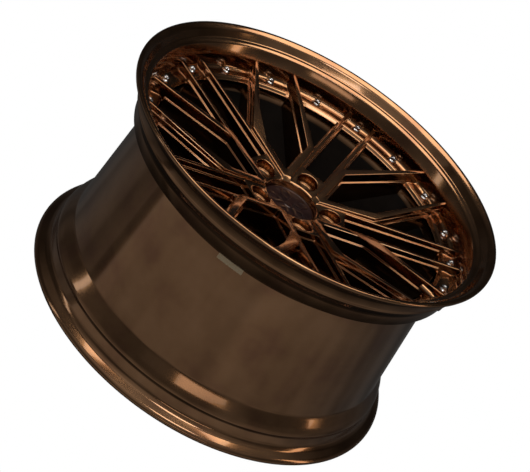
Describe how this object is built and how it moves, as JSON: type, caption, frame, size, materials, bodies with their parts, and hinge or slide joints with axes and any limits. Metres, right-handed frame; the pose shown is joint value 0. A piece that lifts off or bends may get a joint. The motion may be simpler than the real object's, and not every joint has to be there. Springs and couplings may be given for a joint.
{
  "type": "forged racing wheel rim",
  "caption": "Two-piece forged racing wheel rim with a wide stepped lip, bolted centre of V frames and straight spokes, centre cap and tyre valve.",
  "frame": {"origin": "on the wheel's axis, at the rear face of the rear flange (the bottom centre of the part lying face up)", "axes": "+Z along the wheel's axis towards the spoked face, +Y through the middle of one V frame"},
  "size_m": [0.5474, 0.5474, 0.3076],
  "materials": {
    "bronze_lacquer": "gloss translucent bronze lacquer over bright forged aluminium",
    "cap_lacquer": "dark purple brown gloss",
    "bolt_chrome": "polished chrome plate",
    "insert_steel": "plain stainless steel",
    "spring_steel": "bright spring steel",
    "valve_nickel": "satin nickel plate",
    "valve_rubber": "black rubber",
    "core_brass": "plain brass",
    "label_film": "tan paper and film label, left blank"
  },
  "bodies": {
    "wheel": {"rim": "bronze_lacquer", "centre": "bronze_lacquer", "assembly_bolt_01": "bolt_chrome", "assembly_bolt_02": "bolt_chrome", "assembly_bolt_03": "bolt_chrome", "assembly_bolt_04": "bolt_chrome", "assembly_bolt_05": "bolt_chrome", "assembly_bolt_06": "bolt_chrome", "assembly_bolt_07": "bolt_chrome", "assembly_bolt_08": "bolt_chrome", "assembly_bolt_09": "bolt_chrome", "assembly_bolt_10": "bolt_chrome", "assembly_bolt_11": "bolt_chrome", "assembly_bolt_12": "bolt_chrome", "assembly_bolt_13": "bolt_chrome", "assembly_bolt_14": "bolt_chrome", "assembly_bolt_15": "bolt_chrome", "assembly_bolt_16": "bolt_chrome", "assembly_bolt_17": "bolt_chrome", "assembly_bolt_18": "bolt_chrome", "assembly_bolt_19": "bolt_chrome", "assembly_bolt_20": "bolt_chrome", "thread_insert_01": "insert_steel", "thread_insert_02": "insert_steel", "thread_insert_03": "insert_steel", "thread_insert_04": "insert_steel", "thread_insert_05": "insert_steel", "thread_insert_06": "insert_steel", "thread_insert_07": "insert_steel", "thread_insert_08": "insert_steel", "thread_insert_09": "insert_steel", "thread_insert_10": "insert_steel", "thread_insert_11": "insert_steel", "thread_insert_12": "insert_steel", "thread_insert_13": "insert_steel", "thread_insert_14": "insert_steel", "thread_insert_15": "insert_steel", "thread_insert_16": "insert_steel", "thread_insert_17": "insert_steel", "thread_insert_18": "insert_steel", "thread_insert_19": "insert_steel", "thread_insert_20": "insert_steel", "valve_stem": "bronze_lacquer", "valve_seal": "valve_rubber", "valve_washer": "valve_nickel", "valve_nut": "bronze_lacquer", "valve_core": "core_brass", "valve_spring": "spring_steel", "size_label": "label_film"},
    "cap": {"centre_cap": "cap_lacquer", "cap_ring": "spring_steel"},
    "dust_cap": {"valve_cap": "bronze_lacquer"},
    "pin": {"valve_pin": "core_brass"}
  },
  "joints": [
    {"name": "cap_pull", "type": "slide", "parent": "wheel", "child": "cap", "axis": [0, 0, 1], "range_m": [0, 0.08]},
    {"name": "valve_cap_off", "type": "slide", "parent": "wheel", "child": "dust_cap", "axis": [-0.6441, 0.7649, 0], "range_m": [0, 0.03]},
    {"name": "valve_press", "type": "slide", "parent": "wheel", "child": "pin", "axis": [0.6441, -0.7649, 0], "range_m": [0, 0.001], "stiffness_N_per_m": 1000, "deforming": ["valve_spring"]}
  ]
}
